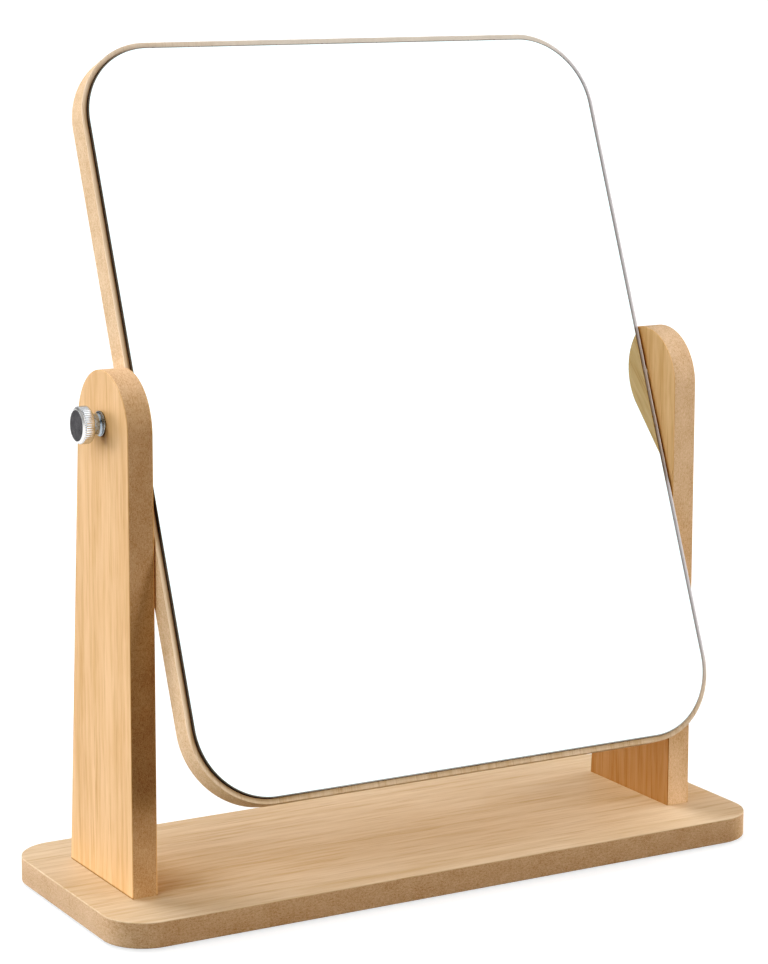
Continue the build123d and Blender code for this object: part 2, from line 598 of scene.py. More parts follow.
@dataclass(frozen=True)
class PostOutline:
    """The side view of a post: plumb front, round top and a sloping back."""

    front: float
    back: float
    foot: float
    top: float
    radius: float
    steps: int = 48

    def ring(self, inset: float) -> list[Point]:
        """The outline's points.

        Args:
            inset: How far they are drawn in, all round but at the foot.

        Returns:
            The points, anticlockwise.
        """
        centre = (self.front + self.radius, self.top - self.radius)
        reach = (self.back - centre[0], self.foot - centre[1])
        slope = math.atan2(reach[1], reach[0]) + math.acos(self.radius / math.hypot(*reach))
        top = arc(centre, self.radius - inset, slope, math.pi, self.steps)
        drop = (self.foot - top[0][1]) / math.cos(slope)
        back_foot = (top[0][0] - drop * math.sin(slope), self.foot)
        return [(self.front + inset, self.foot), back_foot, *top]


# The facets of an eased arris, of a rounded corner of the hardware and of the collar's flare.
EASE_STEPS = 3
ROUND_STEPS = 4
FLARE_STEPS = 10


def eased(span: Span, ease_low: float = 0.0, ease_high: float = 0.0) -> list[Point]:
    """The edge of a plate with its outer arrises eased.

    Args:
        span: The heights of the plate's two faces.
        ease_low: The radius of the lower arris, 0 for a sharp one.
        ease_high: The radius of the upper arris, 0 for a sharp one.

    Returns:
        Pairs of height and inset, from the lower face up.
    """
    low, high = span
    quarter = [QUARTER * step / EASE_STEPS for step in range(EASE_STEPS + 1)]
    bends = [(1 - math.sin(angle), 1 - math.cos(angle)) for angle in quarter]
    levels = [(low + ease_low * rise, ease_low * inset) for rise, inset in reversed(bends)]
    levels += [(high - ease_high * rise, ease_high * inset) for rise, inset in bends]
    return list(dict.fromkeys(levels))


def new_piece(name: str, mesh: bmesh.types.BMesh, place: Matrix) -> Piece:
    """Turn a bmesh into an object with its place in its mesh.

    Args:
        name: The object's name.
        mesh: The bmesh, which is freed.
        place: Where the bmesh goes in the frame.

    Returns:
        The new object.
    """
    data = bpy.data.meshes.new(name)
    bmesh.ops.recalc_face_normals(mesh, faces=mesh.faces)
    mesh.to_mesh(data)
    mesh.free()
    data.transform(place)
    piece = bpy.data.objects.new(name, data)
    bpy.context.scene.collection.objects.link(piece)
    return piece


def crisp(piece: Piece) -> None:
    """Mark a piece's sharp edges, and leave its flat faces flat.

    Args:
        piece: The piece.
    """
    smooth = [polygon.use_smooth for polygon in piece.data.polygons]
    piece.data.set_sharp_from_angle(angle=SHARP_ANGLE)
    piece.data.polygons.foreach_set("use_smooth", smooth)


def plate(name: str, outline: Outline, edge: list[Point], place: Matrix, hollow: bool = False) -> Piece:
    """A flat plate, or a flat frame.

    Args:
        name: The object's name.
        outline: The plate's outline.
        edge: Its edge as pairs of height and inset, from the lower face up.
        place: Where the outline's plane lies in the frame.
        hollow: Whether it is a frame, whose section goes round to its beginning.

    Returns:
        The plate, with each point's inset as an attribute.
    """
    mesh = bmesh.new()
    layer = mesh.verts.layers.float.new(INSET)
    rings = []
    for height, inset in edge:
        rings.append([mesh.verts.new((u, v, height)) for u, v in outline.ring(inset)])
        for point in rings[-1]:
            point[layer] = inset
    for lower, upper in zip(rings, rings[1:] + rings[:1] if hollow else rings[1:]):
        for index in range(len(lower)):
            after = (index + 1) % len(lower)
            face = mesh.faces.new((lower[index], lower[after], upper[after], upper[index]))
            face.smooth = True
    if not hollow:
        mesh.faces.new(reversed(rings[0]))
        mesh.faces.new(rings[-1])
    piece = new_piece(name, mesh, place)
    crisp(piece)
    return piece


def lathe(name: str, profile: list[Point], place: Matrix, segments: int = 96) -> Piece:
    """A turned piece.

    Args:
        name: The object's name.
        profile: Points of (radius, height) round the section; radius 0 is on the axis.
        place: Where the axis, which is Z, lies in the frame.
        segments: Facets round the axis.

    Returns:
        The turned piece.
    """
    mesh = bmesh.new()
    rings = []
    for radius, height in profile:
        count = segments if radius else 1
        turns = [math.tau * step / segments for step in range(count)]
        rings.append([mesh.verts.new((radius * math.cos(a), radius * math.sin(a), height)) for a in turns])
    for lower, upper in zip(rings, rings[1:] + rings[:1]):
        if len(lower) == len(upper) == 1:
            continue
        for index in range(segments):
            after = (index + 1) % segments
            loop = [lower[index % len(lower)], lower[after % len(lower)]]
            loop += [upper[after % len(upper)], upper[index % len(upper)]]
            mesh.faces.new(list(dict.fromkeys(loop))).smooth = True
    piece = new_piece(name, mesh, place)
    piece.data.set_sharp_from_angle(angle=SHARP_ANGLE)
    return piece


def settle(piece: Piece) -> None:
    """Make a piece's evaluated shape its plain mesh, and take its modifiers off.

    Args:
        piece: The piece.
    """
    graph = bpy.context.evaluated_depsgraph_get()
    shape = bpy.data.meshes.new_from_object(piece.evaluated_get(graph), depsgraph=graph)
    piece.modifiers.clear()
    old = piece.data
    piece.data = shape
    bpy.data.meshes.remove(old)
    shape.name = piece.name


def cut(piece: Piece, cutters: list[Piece]) -> None:
    """Cut other shapes out of a piece and delete them.

    Args:
        piece: The piece that is cut.
        cutters: The shapes to take away.
    """
    for cutter in cutters:
        modifier = piece.modifiers.new(cutter.name, "BOOLEAN")
        modifier.object = cutter
        modifier.operation = "DIFFERENCE"
        modifier.solver = "EXACT"
    settle(piece)
    crisp(piece)
    for cutter in cutters:
        bpy.data.objects.remove(cutter)


def join(name: str, pieces: list[Piece]) -> Piece:
    """Put several shapes of one solid piece into one mesh.

    Args:
        name: The joined piece's name.
        pieces: The shapes, which keep their materials.

    Returns:
        The joined piece.
    """
    with bpy.context.temp_override(active_object=pieces[0], selected_editable_objects=pieces):
        bpy.ops.object.join()
    pieces[0].name = name
    pieces[0].data.name = name
    return pieces[0]


def paint(piece: Piece, material: Material) -> None:
    """Give a whole piece one material."""
    piece.data.materials.clear()
    piece.data.materials.append(material)


def paint_facing(piece: Piece, material: Material, way: Vector, limit: float = math.inf) -> None:
    """Give the faces that look one way a second material.

    Args:
        piece: The piece, which has its first material.
        material: The second material.
        way: The way that the faces look.
        limit: How far along it they may lie.
    """
    piece.data.materials.append(material)
    for face in piece.data.polygons:
        if face.normal.dot(way) > FACING and face.center.dot(way) < limit:
            face.material_index = 1


def seat(piece: Piece, body: str, slot: Slot, *nodes: str) -> None:
    """Make a finished piece ride on its body in place of the nodes it stands for.

    Args:
        piece: The finished piece.
        body: The body that carries it.
        slot: The record's slot for its finish; not used.
        nodes: The nodes that it replaces.
    """
    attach(piece, body)
    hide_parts(*nodes)
    log.info("%s on %s: %d faces", piece.name, body, len(piece.data.polygons))


def dress(piece: Piece, finish: Finish, body: str, slot: Slot, node: str) -> None:
    """Give a whole piece its finish, and seat it in place of one node."""
    paint(piece, finish.build())
    seat(piece, body, slot, node)


class GeometryGraph(NodeGraph):
    """A Geometry Nodes tree with named inputs."""

    def __init__(self, name: str, sizes: list[str], counts: tuple[str, ...] = ()) -> None:
        """Make the tree and its interface.

        Args:
            name: The tree's name.
            sizes: The names of the inputs that are sizes.
            counts: The names of the inputs that are whole numbers.
        """
        super().__init__(bpy.data.node_groups.new(name, "GeometryNodeTree"))
        kinds = dict.fromkeys(counts, "NodeSocketInt") | dict.fromkeys(sizes, "NodeSocketFloat")
        for label, kind in {**kinds, "Material": "NodeSocketMaterial"}.items():
            self.tree.interface.new_socket(name=label, in_out="INPUT", socket_type=kind)
        self.tree.interface.new_socket(name="Geometry", in_out="OUTPUT", socket_type="NodeSocketGeometry")
        self.given = self.add("NodeGroupInput").outputs

    def lifted(self, shape: Socket, height: object) -> Socket:
        """A shape raised by a height."""
        lift = self.add("ShaderNodeCombineXYZ", {"Z": height}).outputs[0]
        return self.add("GeometryNodeTransform", {"Geometry": shape, "Translation": lift}).outputs[0]

    def cone(self, radii: tuple[object, object], start: object, height: object) -> Socket:
        """A cone or cylinder round the axis.

        Args:
            radii: Its radius at its beginning and end.
            start: The height that it starts at.
            height: Its own height.

        Returns:
            The cone's mesh.
        """
        sizes = {"Radius Bottom": radii[0], "Radius Top": radii[1], "Depth": height}
        cone = self.add("GeometryNodeMeshCone", {"Vertices": SCREW_SIDES, **sizes})
        return self.lifted(cone.outputs["Mesh"], start)

    def swept(self, section: Socket, path: NodeInputs) -> Socket:
        """A closed section swept along a path, with its ends filled."""
        inputs = {"Profile Curve": section, "Fill Caps": True, **path}
        return self.add("GeometryNodeCurveToMesh", inputs).outputs[0]

    def ridge(self, radii: tuple[object, object], pitch: object, length: object, depth: object) -> Socket:
        """One helical ridge from the ground up.

        Args:
            radii: The ridge's radius at its beginning and end.
            pitch: The climb in one turn.
            length: The climb from end to end.
            depth: The ridge's height.

        Returns:
            The ridge's mesh.
        """
        turns = self.math("DIVIDE", length, pitch)
        inputs = {"Rotations": turns, "Start Radius": radii[0], "End Radius": radii[1], "Height": length}
        helix = self.add("GeometryNodeCurveSpiral", {"Resolution": THREAD_STEPS, **inputs}).outputs[0]
        helix = self.add("GeometryNodeSetCurveNormal", {"Curve": helix}, mode="Z_UP").outputs[0]
        circle = {"Resolution": THREAD_CORNERS, "Radius": depth}
        section = self.add("GeometryNodeCurvePrimitiveCircle", circle).outputs[0]
        return self.swept(section, {"Curve": helix})

    def close(self, geometry: Socket) -> Tree:
        """End the tree in real geometry with its material.

        Args:
            geometry: What the tree has made.

        Returns:
            The finished tree.
        """
        real = self.add("GeometryNodeRealizeInstances", {"Geometry": geometry}).outputs[0]
        inputs = {"Geometry": real, "Material": self.given["Material"]}
        painted = self.add("GeometryNodeSetMaterial", inputs).outputs[0]
        self.add("NodeGroupOutput", {"Geometry": painted})
        return self.tree


def grow(name: str, tree: Tree, inputs: dict[str, object], place: Matrix) -> Piece:
    """Run a Geometry Nodes tree and keep what it makes as a plain mesh.

    Args:
        name: The object's name.
        tree: The tree.
        inputs: A value for each of its inputs by name.
        place: Where the result goes in the frame.

    Returns:
        The new object.
    """
    piece = bpy.data.objects.new(name, bpy.data.meshes.new(name))
    bpy.context.scene.collection.objects.link(piece)
    modifier = piece.modifiers.new(name, "NODES")
    modifier.node_group = tree
    for item in tree.interface.items_tree:
        if item.in_out == "INPUT":
            modifier[item.identifier] = inputs[item.name]
    settle(piece)
    piece.data.transform(place)
    return piece


# The knurl's worn crests as a share of its depth, the steps of their rounding and the rings along it.
KNURL_WEAR = 0.3
KNURL_STEPS = 2
KNURL_RINGS = 25
# The facets of one turn of a thread, the corners of its section and the facets round a wood screw.
THREAD_STEPS = 28
THREAD_CORNERS = 4
SCREW_SIDES = 32
# A wood screw's core as a share of its crest, and its recess in widths of one bar of the cross.
CORE_SHARE = 0.68
RECESS_WIDTH = 3.6
RECESS_DEPTH = 3.0


def knurl_tree() -> Tree:
    """A straight knurl: a toothed bar whose two ends are chamfered.

    Returns:
        The tree.
    """
    graph = GeometryGraph("straight_knurl", ["Crest", "Depth", "Length", "Chamfer"], ("Teeth",))
    given = graph.given
    root = graph.math("SUBTRACT", given["Crest"], given["Depth"])
    teeth = {"Points": given["Teeth"], "Inner Radius": root, "Outer Radius": given["Crest"]}
    star = graph.add("GeometryNodeCurveStar", teeth).outputs["Curve"]
    radius = graph.math("MULTIPLY", given["Depth"], KNURL_WEAR)
    worn = {"Curve": star, "Count": KNURL_STEPS, "Radius": radius, "Limit Radius": True}
    section = graph.add("GeometryNodeFilletCurve", worn, mode="POLY").outputs[0]
    end = graph.add("ShaderNodeCombineXYZ", {"Z": given["Length"]}).outputs[0]
    axis = graph.add("GeometryNodeCurvePrimitiveLine", {"End": end}).outputs[0]
    path = graph.add("GeometryNodeResampleCurve", {"Curve": axis, "Count": KNURL_RINGS}).outputs[0]
    along = graph.add("GeometryNodeSplineParameter").outputs["Factor"]
    share = graph.math("MINIMUM", along, graph.math("SUBTRACT", 1.0, along))
    from_end = graph.math("MULTIPLY", share, given["Length"])
    short = graph.math("MAXIMUM", graph.math("SUBTRACT", given["Chamfer"], from_end), 0.0)
    scale = graph.math("SUBTRACT", 1.0, graph.math("DIVIDE", short, given["Crest"]))
    return graph.close(graph.swept(section, {"Curve": path, "Scale": scale}))


def machine_thread_tree() -> Tree:
    """The ridge of a machine thread.

    Returns:
        The tree.
    """
    graph = GeometryGraph("machine_thread", ["Core", "Pitch", "Length", "Depth"])
    core, pitch, length, depth = (graph.given[name] for name in ("Core", "Pitch", "Length", "Depth"))
    return graph.close(graph.ridge((core, core), pitch, length, depth))


def wood_screw_tree() -> Tree:
    """Countersunk wood screws with a cross recess, one at each corner of a rectangle.

    Returns:
        The tree.
    """
    sizes = ["Head", "Crest", "Length", "Plain", "Tip", "Pitch", "Recess", "Apart X", "Apart Y"]
    graph = GeometryGraph("wood_screws", sizes)
    given = graph.given
    crest, plain, tip, pitch = (given[name] for name in ("Crest", "Plain", "Tip", "Pitch"))
    core = graph.math("MULTIPLY", crest, CORE_SHARE)
    depth = graph.math("SUBTRACT", crest, core)
    rise = graph.math("SUBTRACT", given["Head"], crest)
    head = graph.cone((given["Head"], crest), 0.0, rise)
    thin = given["Recess"]
    wide = graph.math("MULTIPLY", thin, RECESS_WIDTH)
    deep = graph.math("MULTIPLY", thin, RECESS_DEPTH)
    for width, length in ((wide, thin), (thin, wide)):
        size = graph.add("ShaderNodeCombineXYZ", {"X": width, "Y": length, "Z": deep}).outputs[0]
        bar = graph.add("GeometryNodeMeshCube", {"Size": size}).outputs["Mesh"]
        head = graph.add("GeometryNodeMeshBoolean", {"Mesh 1": head, "Mesh 2": bar}).outputs["Mesh"]
    top = graph.math("SUBTRACT", given["Length"], tip)
    threaded = graph.math("SUBTRACT", top, plain)
    shapes = [
        head,
        graph.cone((crest, crest), rise, graph.math("SUBTRACT", plain, rise)),
        graph.cone((core, core), plain, threaded),
        graph.cone((core, 0.0), top, tip),
        graph.lifted(graph.ridge((core, core), pitch, threaded, depth), plain),
        graph.lifted(graph.ridge((core, 0.0), pitch, tip, depth), top),
    ]
    joined = graph.add("GeometryNodeJoinGeometry")
    for shape in reversed(shapes):
        graph.tree.links.new(shape, joined.inputs[0])
    grid = {"Size X": given["Apart X"], "Size Y": given["Apart Y"], "Vertices X": 2, "Vertices Y": 2}
    corners = graph.add("GeometryNodeMeshGrid", grid).outputs["Mesh"]
    inputs = {"Points": corners, "Instance": joined.outputs[0]}
    return graph.close(graph.add("GeometryNodeInstanceOnPoints", inputs).outputs[0])


FLAT_PLACE = Matrix.Identity(4)
UPRIGHT_PLACE = Matrix(((0, 0, 1, 0), (1, 0, 0, 0), (0, 1, 0, 0), (0, 0, 0, 1)))
# The facets round a hole for a screw or an insert, and round the pivot's bore.
HOLE_SEGMENTS = 48
BORE_SEGMENTS = 64


@dataclass
class Pivot:
    """The axis that the mirror tilts about, read from the frame."""

    y: float = 0.0
    z: float = 0.0

    def __post_init__(self) -> None:
        """Read the axis from the tilt joint."""
        joint = next(item for item in frame["joints"] if item["name"] == "mirror_tilt")
        _, self.y, self.z = joint["pos_m"]

    def panel_place(self, drop: float) -> Matrix:
        """The frame of a panel hung with its middle below the axis: Y runs up it, Z out of the glass."""
        turn = Matrix.Rotation(QUARTER - PANEL_TILT, 4, "X")
        return Matrix.Translation((0.0, self.y, self.z)) @ turn @ Matrix.Translation((0.0, -drop, 0.0))

    def outward_place(self, side: Side) -> Matrix:
        """The hardware's frame on one side: Z runs outwards along the pivot axis."""
        turn = Matrix.Rotation(side.value * QUARTER, 4, "Y")
        return Matrix.Translation((0.0, self.y, self.z)) @ turn


@dataclass
class Stand:
    """The base board, its two posts, the felt under it and the screws that hold it together."""

    pivot: Pivot
    corner_radius: float = 18.0 * MM
    post_radius: float = 22.9 * MM
    felt_inset: float = 5.0 * MM
    ease: float = 0.25 * MM
    foot_ease: float = 0.5 * MM
    bore_radius: float = 2.1 * MM
    screw_head: float = 4.0 * MM
    screw_crest: float = 2.0 * MM
    screw_play: float = 0.05 * MM
    screw_plain: float = 11.0 * MM
    screw_tip: float = 5.0 * MM
    screw_pitch: float = 1.8 * MM
    screw_recess: float = 0.9 * MM

    def screw_holes(self) -> list[Piece]:
        """Cutters for the countersunk pilot holes.

        Returns:
            One cutter for each wood screw.
        """
        low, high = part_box("post_screws")
        head = self.screw_head + self.screw_play
        shank = self.screw_crest + self.screw_play
        rise = self.screw_head - self.screw_crest
        length = high.z - low.z + self.screw_play
        below = self.screw_play
        profile = [(0, -below), (head, -below), (head, 0), (shank, rise), (shank, length), (0, length)]
        cutters = []
        for x in (low.x + self.screw_head, high.x - self.screw_head):
            for y in (low.y + self.screw_head, high.y - self.screw_head):
                place = Matrix.Translation((x, y, low.z))
                cutters.append(lathe("screw_hole", profile, place, HOLE_SEGMENTS))
        return cutters

    def flat_piece(self, node: str, radius: float, ease: Span) -> Piece:
        """A dressed plate in the place of a flat node.

        Args:
            node: The node that it stands for.
            radius: The radius of its corners.
            ease: The radii of its lower and upper arris.

        Returns:
            The plate.
        """
        low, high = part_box(node)
        outline = RoundedRectangle(high.x - low.x, high.y - low.y, radius)
        return plate(f"dressed_{node}", outline, eased((low.z, high.z), *ease), FLAT_PLACE)

    def build_base(self, edge: Finish, veneer: Finish, felt: Finish) -> None:
        """Make the base board, the veneer on it and the felt under it.

        Args:
            edge: The board's finish.
            veneer: The finish on top.
            felt: The felt's finish.
        """
        layers = [
            ("base_board", (self.foot_ease, 0.0), edge, Slot.FIBREBOARD),
            ("base_top_veneer", (0.0, self.ease), veneer, Slot.VENEER),
        ]
        for node, ease, finish, slot in layers:
            layer = self.flat_piece(node, self.corner_radius, ease)
            cut(layer, self.screw_holes())
            dress(layer, finish, "stand", slot, node)
        self.build_felt(felt)

    def build_felt(self, felt: Finish) -> None:
        """Make the felt sheet that the base stands on.

        Args:
            felt: The felt's finish.
        """
        radius = self.corner_radius - self.felt_inset
        sheet = self.flat_piece("base_felt", radius, (self.ease, 0.0))
        dress(sheet, felt, "stand", Slot.FELT, "base_felt")

    def build_post(self, side: Side, edge: Finish, outer: Finish, inner: Finish) -> None:
        """Make one post as a board with a veneer on each face.

        Args:
            side: Which post it is.
            edge: The board's finish.
            outer: The veneer on its outer face.
            inner: The veneer on the face towards the mirror.
        """
        name = f"{side.label}_post"
        low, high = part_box(name)
        outline = PostOutline(low.y, high.y, low.z, high.z, self.post_radius)
        outer_ease = (self.ease, 0.0) if side is Side.LEFT else (0.0, self.ease)
        inner_ease = outer_ease[::-1]
        layers = [
            (name, (0.0, 0.0), edge, Slot.FIBREBOARD),
            (f"{name}_outer_veneer", outer_ease, outer, Slot.VENEER),
            (f"{name}_inner_veneer", inner_ease, inner, Slot.VENEER),
        ]
        for node, ease, finish, slot in layers:
            low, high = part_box(node)
            layer = plate(f"dressed_{node}", outline, eased((low.x, high.x), *ease), UPRIGHT_PLACE)
            cutters = [self.pivot_bore(side)]
            if node == name:
                cutters += self.screw_holes()
            cut(layer, cutters)
            dress(layer, finish, "stand", slot, node)

    def pivot_bore(self, side: Side) -> Piece:
        """A cutter for the thumbscrew's hole through one post.

        Args:
            side: Which post it is.

        Returns:
            The cutter.
        """
        low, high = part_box(f"{side.label}_collar")
        reach = max(abs(low.x), abs(high.x))
        profile = [(0, 0), (self.bore_radius, 0), (self.bore_radius, reach), (0, reach)]
        return lathe("pivot_bore", profile, self.pivot.outward_place(side), BORE_SEGMENTS)

    def build_screws(self, steel: Finish) -> None:
        """Make the four wood screws.

        Args:
            steel: Their finish.
        """
        low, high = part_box("post_screws")
        inputs = {
            "Head": self.screw_head,
            "Crest": self.screw_crest,
            "Length": high.z - low.z,
            "Plain": self.screw_plain,
            "Tip": self.screw_tip,
            "Pitch": self.screw_pitch,
            "Recess": self.screw_recess,
            "Apart X": high.x - low.x - 2 * self.screw_head,
            "Apart Y": high.y - low.y - 2 * self.screw_head,
            "Material": steel.build(),
        }
        middle = (low + high) / 2
        place = Matrix.Translation((middle.x, middle.y, low.z))
        screws = grow("dressed_post_screws", wood_screw_tree(), inputs, place)
        seat(screws, "stand", Slot.SCREW_STEEL, "post_screws")


@dataclass
class MirrorPanel:
    """The tilting panel: a veneered board with a recess, the glass taped into it."""

    pivot: Pivot
    width: float = 241.5 * MM
    height: float = 307.5 * MM
    corner_radius: float = 32.5 * MM
    corner_steps: int = 32
    drop: float = 1.2 * MM
    back: float = -5.4 * MM
    board: float = 10.8 * MM
    veneer: float = 0.4 * MM
    recess: float = 1.5 * MM
    rim: float = 2.1 * MM
    glass_gap: float = 0.2 * MM
    glass_thickness: float = 2.0 * MM
    glass_proud: float = 1.0 * MM
    seam_width: float = 0.5 * MM
    seam_depth: float = 0.25 * MM
    ease: float = 0.3 * MM
    seat_radius: float = 2.85 * MM
    seat_depth: float = 11.5 * MM

    def outline(self, inset: float) -> RoundedRectangle:
        """The panel's outline drawn in by an inset."""
        width, height = self.width - 2 * inset, self.height - 2 * inset
        return RoundedRectangle(width, height, self.corner_radius - inset, self.corner_steps)

    def slab(self, name: str, edge: list[Point], inset: float = 0.0, hollow: bool = False) -> Piece:
        """A plate with the panel's outline."""
        return plate(name, self.outline(inset), edge, self.pivot.panel_place(self.drop), hollow)

    def build_board(self, edge: Finish, front_veneer: Finish, back_veneer: Finish) -> None:
        """Make the board with its recess, the rim in front and the veneer behind.

        Args:
            edge: The board's finish.
            front_veneer: The finish of the rim.
            back_veneer: The finish of the back.
        """
        front = self.back + self.board
        rim_back = front - self.veneer
        core = self.slab("dressed_mirror_board", eased((self.back + self.veneer, rim_back)))
        recess = self.slab("recess", eased((front - self.recess, front + self.ease)), self.rim)
        cut(core, [recess, *self.insert_seats()])
        dress(core, edge, "mirror", Slot.FIBREBOARD, "mirror_board")
        section = [*eased((rim_back, front), 0.0, self.ease), (front, self.rim), (rim_back, self.rim)]
        rim = self.slab("dressed_mirror_rim_veneer", section, hollow=True)
        dress(rim, front_veneer, "mirror", Slot.VENEER, "mirror_rim_veneer")
        sheet_edge = eased((self.back, self.back + self.veneer), self.ease)
        sheet = self.slab("dressed_mirror_back_veneer", sheet_edge)
        dress(sheet, back_veneer, "mirror", Slot.VENEER, "mirror_back_veneer")

    def insert_seats(self) -> list[Piece]:
        """Cutters for the holes that the threaded inserts sit in.

        Returns:
            One cutter for each side.
        """
        inner = self.width / 2 - self.seat_depth
        outer = self.width / 2 + self.ease
        profile = [(0, inner), (self.seat_radius, inner), (self.seat_radius, outer), (0, outer)]
        places = [self.pivot.outward_place(side) for side in Side]
        return [lathe("insert_seat", profile, place, HOLE_SEGMENTS) for place in places]

    def build_glass(self, silver: Finish, ground: Finish) -> None:
        """Make the mirror glass, silvered on its face and ground on its edge.

        Args:
            silver: The finish of its face.
            ground: The finish of its edge.
        """
        front = self.back + self.board + self.glass_proud
        seam = [(front - self.seam_depth, 0.0), (front, self.seam_width)]
        inset = self.rim + self.glass_gap
        glass = self.slab("dressed_mirror_glass", [(front - self.glass_thickness, 0.0), *seam], inset)
        paint(glass, ground.build())
        normal = self.pivot.panel_place(self.drop).to_3x3() @ Vector((0.0, 0.0, 1.0))
        paint_facing(glass, silver.build(), normal)
        seat(glass, "mirror", Slot.MIRROR_GLASS, "mirror_glass")


def rounded_rim(radius: float, span: Span, rounding: float) -> list[Point]:
    """The outer edge of a turned disc, with both of its corners rounded.

    Args:
        radius: The disc's radius.
        span: Where it begins and ends along its axis.
        rounding: The radius of its corners.

    Returns:
        Points of (radius, height), from the disc's beginning on.
    """
    middle = radius - rounding
    edge = arc((middle, span[0] + rounding), rounding, -QUARTER, 0.0, ROUND_STEPS)
    return edge + arc((middle, span[1] - rounding), rounding, 0.0, QUARTER, ROUND_STEPS)


@dataclass
class Clamp:
    """The hardware on one side of the pivot: washer, collar and thumbscrew."""

    pivot: Pivot
    side: Side
    bore: float = 2.1 * MM
    flange_radius: float = 5.0 * MM
    flange_thickness: float = 1.0 * MM
    flare_radius: float = 1.5 * MM
    waist_radius: float = 4.1 * MM
    rounding: float = 0.25 * MM
    washer_radius: float = 5.0 * MM
    screw_crest: float = 2.0 * MM
    screw_pitch: float = 0.7 * MM
    thread_depth: float = 0.35 * MM
    neck_radius: float = 3.1 * MM
    clearance: float = 0.02 * MM
    head_radius: float = 7.4 * MM
    head_thickness: float = 5.0 * MM
    knurl_chamfer: float = 0.4 * MM
    knurl_depth: float = 0.35 * MM
    knurl_teeth: int = 48
    cap_radius: float = 7.0 * MM
    cap_chamfer: float = 0.7 * MM
    face_recess: float = 0.12 * MM

    @property
    def place(self) -> Matrix:
        """The hardware's frame, whose Z runs outwards along the pivot axis."""
        return self.pivot.outward_place(self.side)

    def span(self, part: str) -> Span:
        """Where a part begins and ends, outwards along the pivot axis."""
        low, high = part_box(f"{self.side.label}_{part}")
        return min(abs(low.x), abs(high.x)), max(abs(low.x), abs(high.x))

    def build_washer(self, nylon: Finish) -> None:
        """Make the friction washer between mirror and post.

        Args:
            nylon: Its finish.
        """
        inner, outer = self.span("friction_washer")
        edge = rounded_rim(self.washer_radius, (inner, outer), self.rounding)
        node = f"{self.side.label}_friction_washer"
        washer = lathe(f"dressed_{node}", [(self.bore, inner), *edge, (self.bore, outer)], self.place)
        dress(washer, nylon, "mirror", Slot.NYLON, node)

    def build_collar(self, nickel: Finish) -> None:
        """Make the flared collar between post and screw head.

        Args:
            nickel: Its finish.
        """
        inner, outer = self.span("collar")
        flange_top = inner + self.flange_thickness
        lean = math.asin(1 - (self.flange_radius - self.rounding - self.waist_radius) / self.flare_radius)
        flare_middle = (self.waist_radius + self.flare_radius, flange_top + self.flare_radius)
        waist_middle = (self.waist_radius - self.rounding, outer - self.rounding)
        profile = [
            (self.bore, inner),
            *rounded_rim(self.flange_radius, (inner, flange_top), self.rounding),
            *arc(flare_middle, self.flare_radius, 3 * QUARTER - lean, math.pi, FLARE_STEPS),
            *arc(waist_middle, self.rounding, 0.0, QUARTER, ROUND_STEPS),
            (self.bore, outer),
        ]
        node = f"{self.side.label}_collar"
        collar = lathe(f"dressed_{node}", profile, self.place)
        dress(collar, nickel, f"{self.side.label}_clamp", Slot.NICKEL, node)

    def shank(self, plated: Material) -> list[Piece]:
        """Make the thumbscrew's neck, shank and thread.

        Args:
            plated: The plated metal.

        Returns:
            The shank with its neck, and the thread.
        """
        tip, end = self.span("thumbscrew")
        _, collar_end = self.span("collar")
        neck_end = end - self.head_thickness + self.knurl_chamfer
        core = self.screw_crest - self.thread_depth
        shoulder = collar_end + self.clearance
        thread_end = collar_end - self.neck_radius
        profile = [
            (0, tip),
            (core - self.thread_depth, tip),
            (core, tip + self.thread_depth),
            (core, thread_end),
            (self.screw_crest, thread_end),
            (self.screw_crest, shoulder),
            (self.neck_radius, shoulder),
            (self.neck_radius, neck_end),
            (0, neck_end),
        ]
        shank = lathe("shank", profile, self.place)
        paint(shank, plated)
        inputs = {
            "Core": core,
            "Pitch": self.screw_pitch,
            "Length": thread_end - tip - 2 * self.thread_depth,
            "Depth": self.thread_depth,
            "Material": plated,
        }
        lift = Matrix.Translation((0.0, 0.0, tip + self.thread_depth))
        return [shank, grow("thread", machine_thread_tree(), inputs, self.place @ lift)]

    def knurl(self, plated: Material) -> Piece:
        """Make the knurled part of the thumbscrew's head.

        Args:
            plated: The plated metal.

        Returns:
            The knurl.
        """
        _, end = self.span("thumbscrew")
        inputs = {
            "Teeth": self.knurl_teeth,
            "Crest": self.head_radius,
            "Depth": self.knurl_depth,
            "Length": self.head_thickness - self.cap_chamfer,
            "Chamfer": self.knurl_chamfer,
            "Material": plated,
        }
        lift = Matrix.Translation((0.0, 0.0, end - self.head_thickness))
        return grow("knurl", knurl_tree(), inputs, self.place @ lift)

    def cap(self, chamfer: Finish, face: Finish) -> Piece:
        """Make the thumbscrew's cap, with a shallow recess in its face.

        Args:
            chamfer: The finish of the ring round the face.
            face: The finish of the flat face.

        Returns:
            The cap.
        """
        _, end = self.span("thumbscrew")
        start = end - self.cap_chamfer - self.knurl_chamfer
        rim = self.cap_radius - self.cap_chamfer
        bottom = end - self.face_recess
        profile = [
            (0, start),
            (self.cap_radius, start),
            (self.cap_radius, end - self.cap_chamfer),
            (rim, end),
            (rim - self.face_recess, end),
            (rim - 2 * self.face_recess, bottom),
            (0, bottom),
        ]
        cap = lathe("cap", profile, self.place)
        paint(cap, chamfer.build())
        outward = Vector((self.side.value, 0.0, 0.0))
        paint_facing(cap, face.build(), outward, end - self.face_recess / 2)
        return cap

